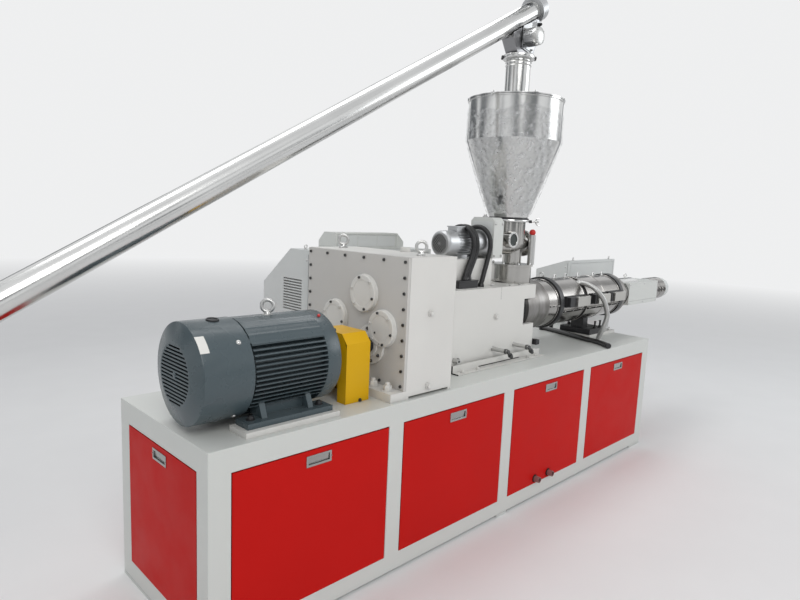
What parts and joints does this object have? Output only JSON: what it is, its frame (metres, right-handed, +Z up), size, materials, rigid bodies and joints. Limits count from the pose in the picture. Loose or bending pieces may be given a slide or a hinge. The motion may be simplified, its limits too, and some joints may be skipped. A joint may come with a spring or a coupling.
{
  "type": "plastic extruder",
  "caption": "Conical twin-screw plastic extruder on a bed with red lift-out doors, with drive motor, gearbox, heated barrel, die, hopper and inclined screw loader.",
  "frame": {"origin": "middle of the bed on the floor, under the middle floor bar", "axes": "+X runs along the machine towards the die, +Y towards the side cabinets, +Z up"},
  "size_m": [6.628, 1.166, 2.9784],
  "materials": {
    "bed_paint": "satin",
    "cast_paint": "satin",
    "door_paint": "satin",
    "motor_paint": "satin",
    "guard_paint": "satin",
    "grey_paint": "satin",
    "stainless": "polished",
    "zinc_steel": "bright",
    "dark_steel": "matt",
    "black_hose": "matt",
    "cast_alloy": "satin"
  },
  "bodies": {
    "root": {"floor_bars": "bed_paint", "long_rails": "bed_paint", "cross_rails": "bed_paint", "bed_posts": "bed_paint", "bed_top": "bed_paint", "door_panels": "door_paint", "door_pulls": "stainless", "water_pipes": "dark_steel", "planed_pads": "cast_paint", "motor_body": "motor_paint", "motor_cowl": "motor_paint", "motor_end_shield": "motor_paint", "motor_terminal_box": "motor_paint", "coupling": "dark_steel", "coupling_guard": "guard_paint", "gearbox_housing": "cast_paint", "gearbox_cover": "grey_paint", "bearing_caps": "cast_paint", "lifting_eyes": "zinc_steel", "gearbox_fittings": "zinc_steel", "screw_housing": "cast_paint", "slotted_angles": "cast_paint", "oil_pipes": "dark_steel", "barrel": "dark_steel", "heater_covers": "stainless", "terminal_boxes": "stainless", "barrel_support": "dark_steel", "conduits": "zinc_steel", "die_adapter": "stainless", "die_cover": "bed_paint", "die_head": "grey_paint", "feeder_stand": "cast_paint", "feeder_motor": "cast_alloy", "feeder_case": "grey_paint", "feeder_drum": "stainless", "feeder_body": "stainless", "gate_post": "zinc_steel", "feeder_hoses": "black_hose", "hopper_cone": "stainless", "hopper_cylinder": "stainless", "hopper_lid": "stainless", "loader_chute": "grey_paint", "loader_tube": "stainless", "loader_motor": "cast_alloy", "powder_bin": "stainless", "bin_stand": "bed_paint", "side_cabinets": "grey_paint", "control_box": "bed_paint"}
  },
  "joints": []
}
